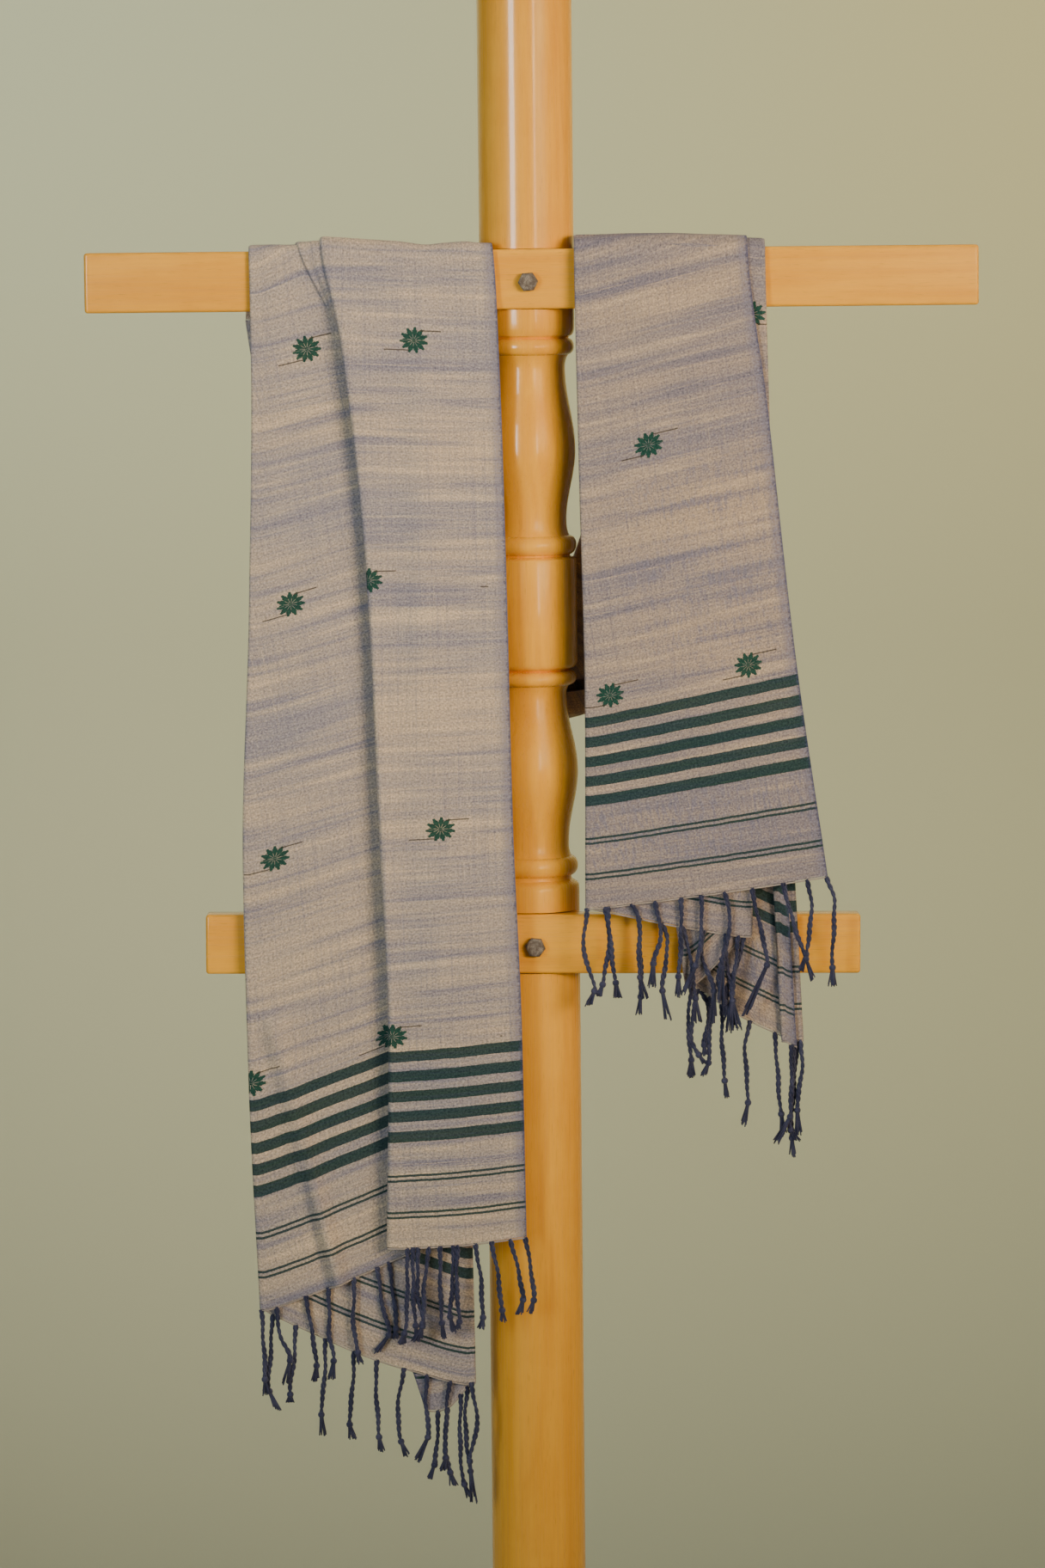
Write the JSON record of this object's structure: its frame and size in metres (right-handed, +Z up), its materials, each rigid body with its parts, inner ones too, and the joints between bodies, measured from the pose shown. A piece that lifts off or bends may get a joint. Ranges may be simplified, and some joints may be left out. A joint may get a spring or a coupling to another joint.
{
  "type": "stole on a coat stand",
  "caption": "Patterned stole folded lengthwise and hung over the upper arm of a turned wooden coat stand, one fall long and one short, with a gathered swag behind the post and fringed ends.",
  "frame": {"origin": "on the floor under the post's axis, the centre of the crossed base bars", "axes": "+Z up along the post, +X to the wearer-side right along the arms as seen from the front, +Y towards the back of the stand"},
  "size_m": [0.664, 0.664, 1.62],
  "materials": {
    "post": "clear gloss varnish",
    "upper_arm": "clear gloss varnish",
    "lower_arm": "clear gloss varnish",
    "upper_bolt": "dull and pitted",
    "lower_bolt": "dull and pitted",
    "base_bar_along": "clear gloss varnish",
    "base_bar_across": "clear gloss varnish",
    "stole_left_fall": "fine ribbed weave with stripes and small flower heads",
    "stole_back_swag": "fine ribbed weave with stripes and small flower heads",
    "stole_right_fall": "fine ribbed weave with stripes and small flower heads",
    "fringe_left": "knotted loose yarn",
    "fringe_right": "knotted loose yarn"
  },
  "bodies": {
    "root": {"post": "post", "upper_arm": "upper_arm", "lower_arm": "lower_arm", "upper_bolt": "upper_bolt", "lower_bolt": "lower_bolt", "base_bar_along": "base_bar_along", "base_bar_across": "base_bar_across", "stole_left_fall": "stole_left_fall", "stole_back_swag": "stole_back_swag", "stole_right_fall": "stole_right_fall", "fringe_left": "fringe_left", "fringe_right": "fringe_right"}
  },
  "joints": []
}
